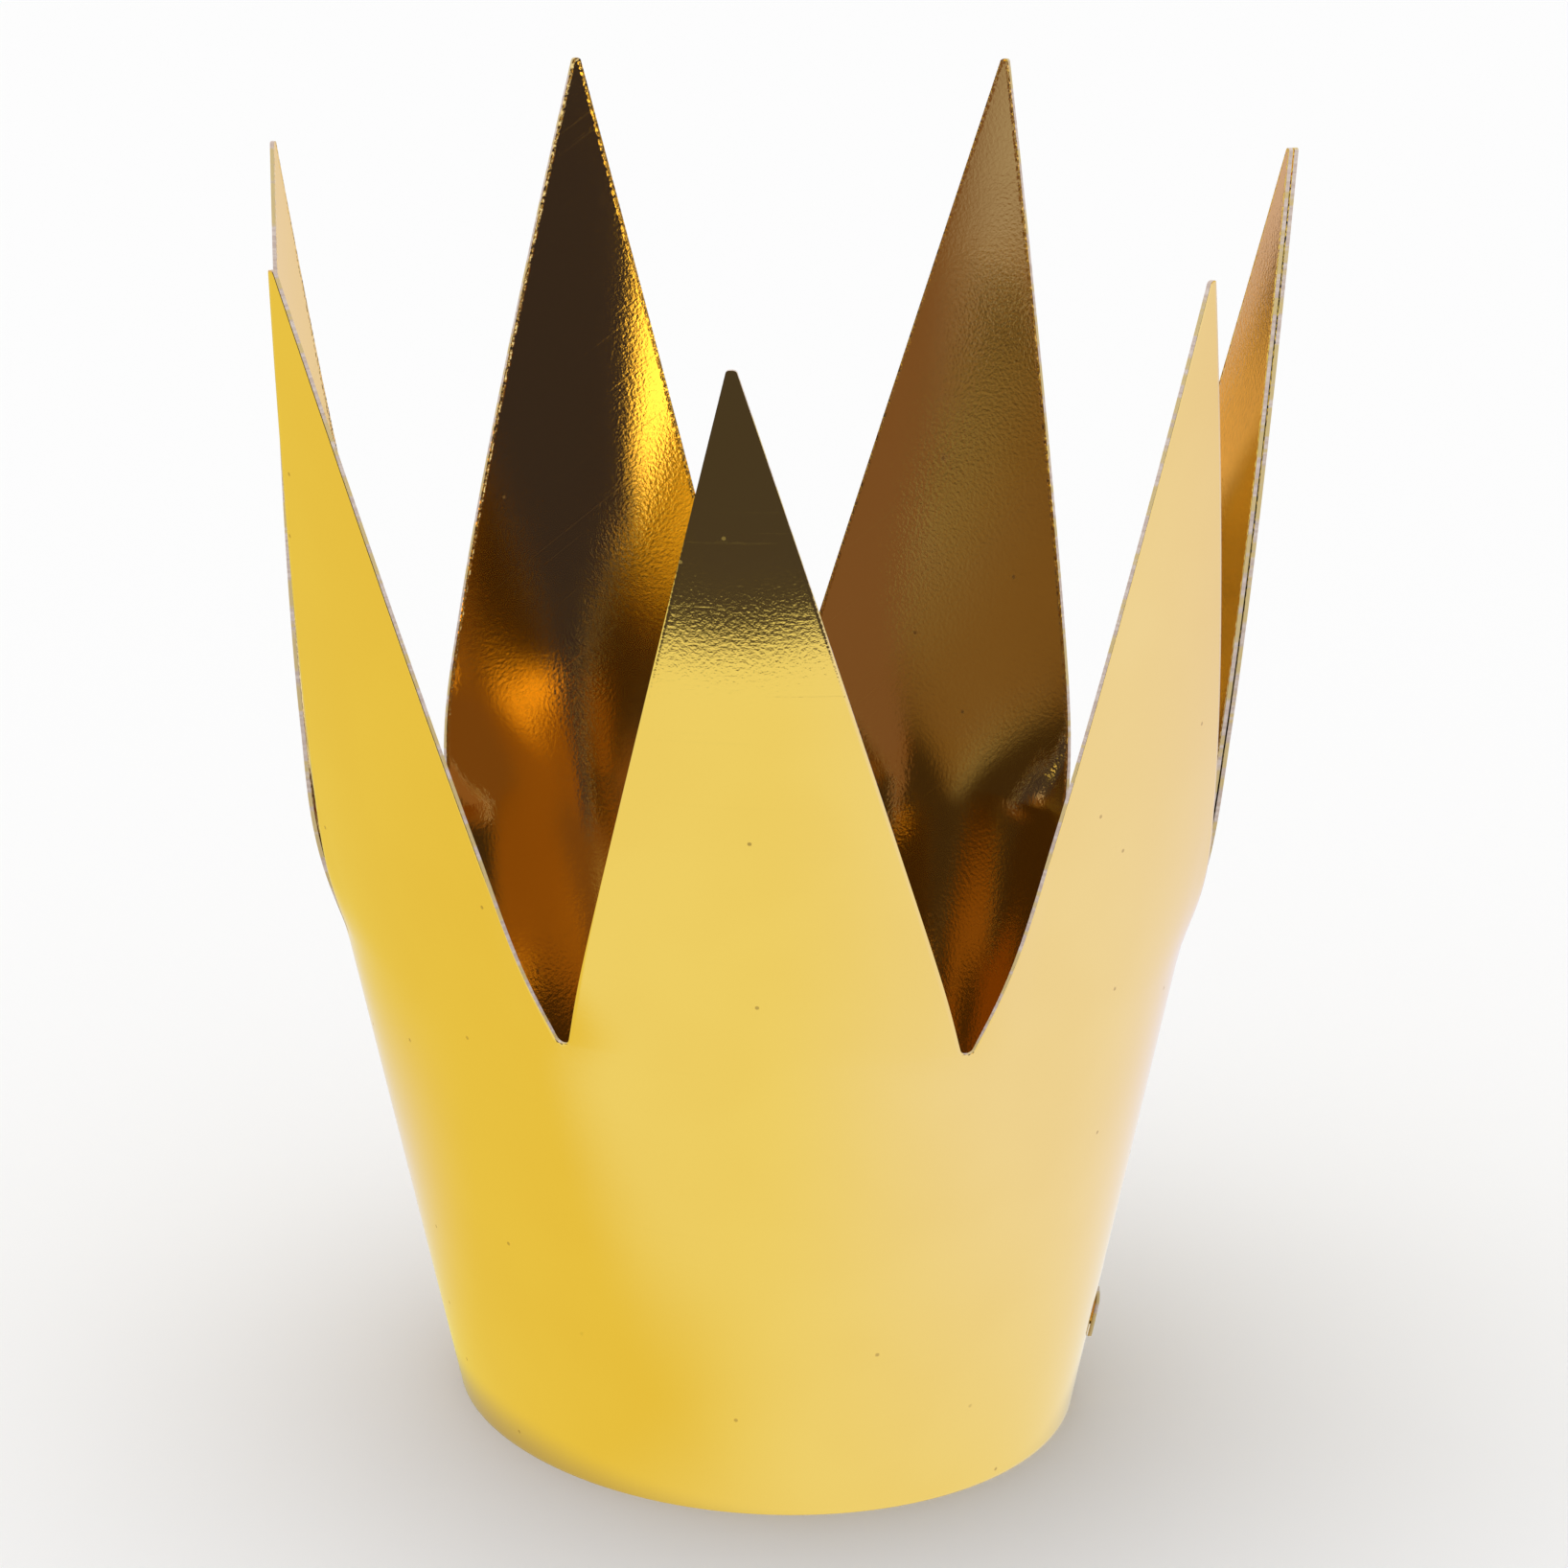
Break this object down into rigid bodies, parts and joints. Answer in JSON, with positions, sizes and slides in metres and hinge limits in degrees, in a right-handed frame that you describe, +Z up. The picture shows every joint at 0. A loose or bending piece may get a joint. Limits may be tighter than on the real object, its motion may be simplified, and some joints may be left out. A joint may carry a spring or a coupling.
{
  "type": "paper crown",
  "caption": "Rolled foil-card party crown: a flaring ring with tall pointed spikes, lapped and locked by a small tongue through a slit.",
  "frame": {"origin": "on the ground, below the middle of the crown's overall box; the ring's own centre is 2 mm to -X and 6 mm to +Y of it", "axes": "+Z up, through the ring, and the longest extent by a little; -Y is the front, where the single forward-leaning point faces; +X is to the right of that front, where the lap is"},
  "size_m": [0.0902, 0.1134, 0.1141],
  "materials": {
    "foil_card": "gold metallised foil on both sides, satin to glossy, with pale cut edges"
  },
  "bodies": {
    "root": {"crown": "foil_card"}
  },
  "joints": []
}
